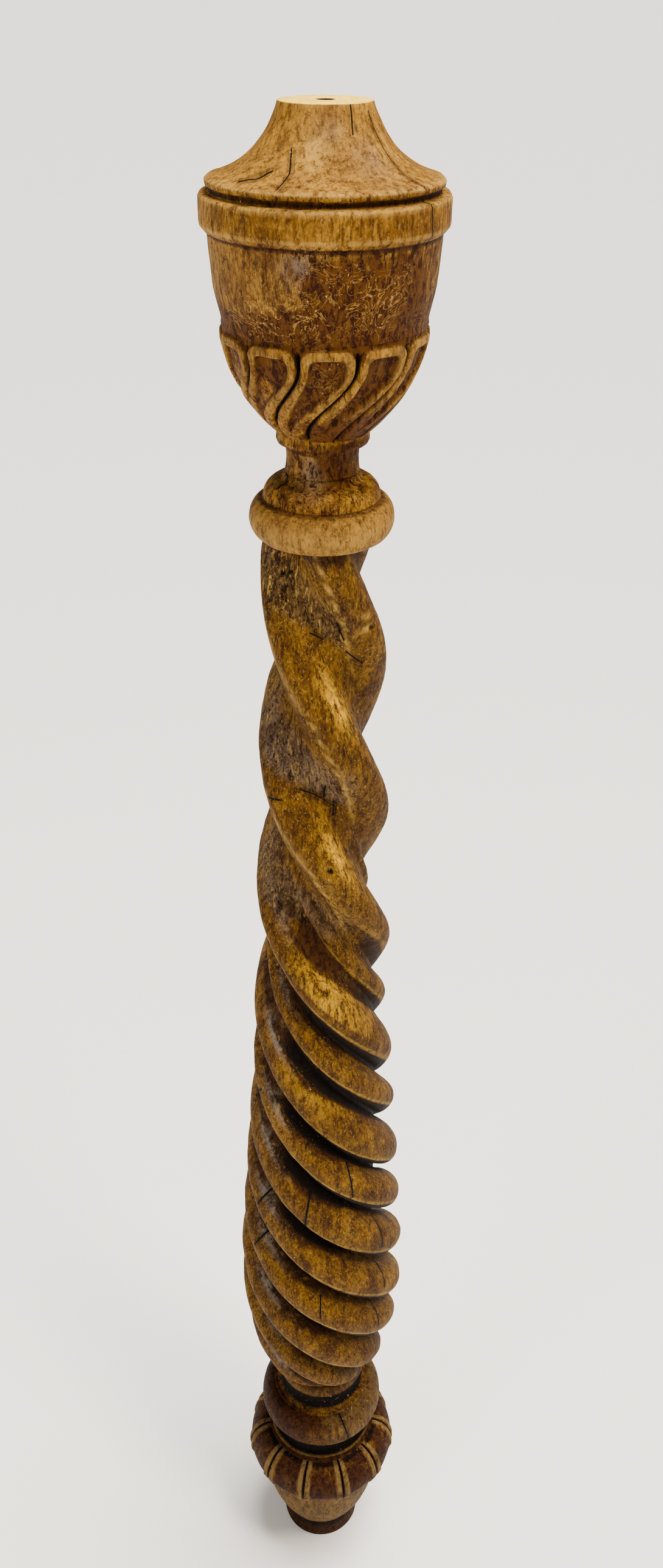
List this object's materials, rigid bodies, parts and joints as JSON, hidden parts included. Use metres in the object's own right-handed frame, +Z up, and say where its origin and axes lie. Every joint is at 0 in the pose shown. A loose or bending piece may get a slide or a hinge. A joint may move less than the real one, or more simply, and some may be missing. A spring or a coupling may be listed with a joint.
{
  "type": "carved wooden column",
  "caption": "Slender carved wooden column with a gadrooned urn, a twisted rope shaft and a gadrooned bulb on a small turned foot.",
  "frame": {"origin": "centre of the underside of the foot, where the column stands on the floor", "axes": "+Z up along the column, -Y towards the front that the picture shows, +X to the right of the picture"},
  "size_m": [0.1402, 0.1396, 1.3],
  "materials": {
    "weathered_wood": "old brown surface, dull, dirty and worn"
  },
  "bodies": {
    "root": {"column": "weathered_wood"}
  },
  "joints": []
}
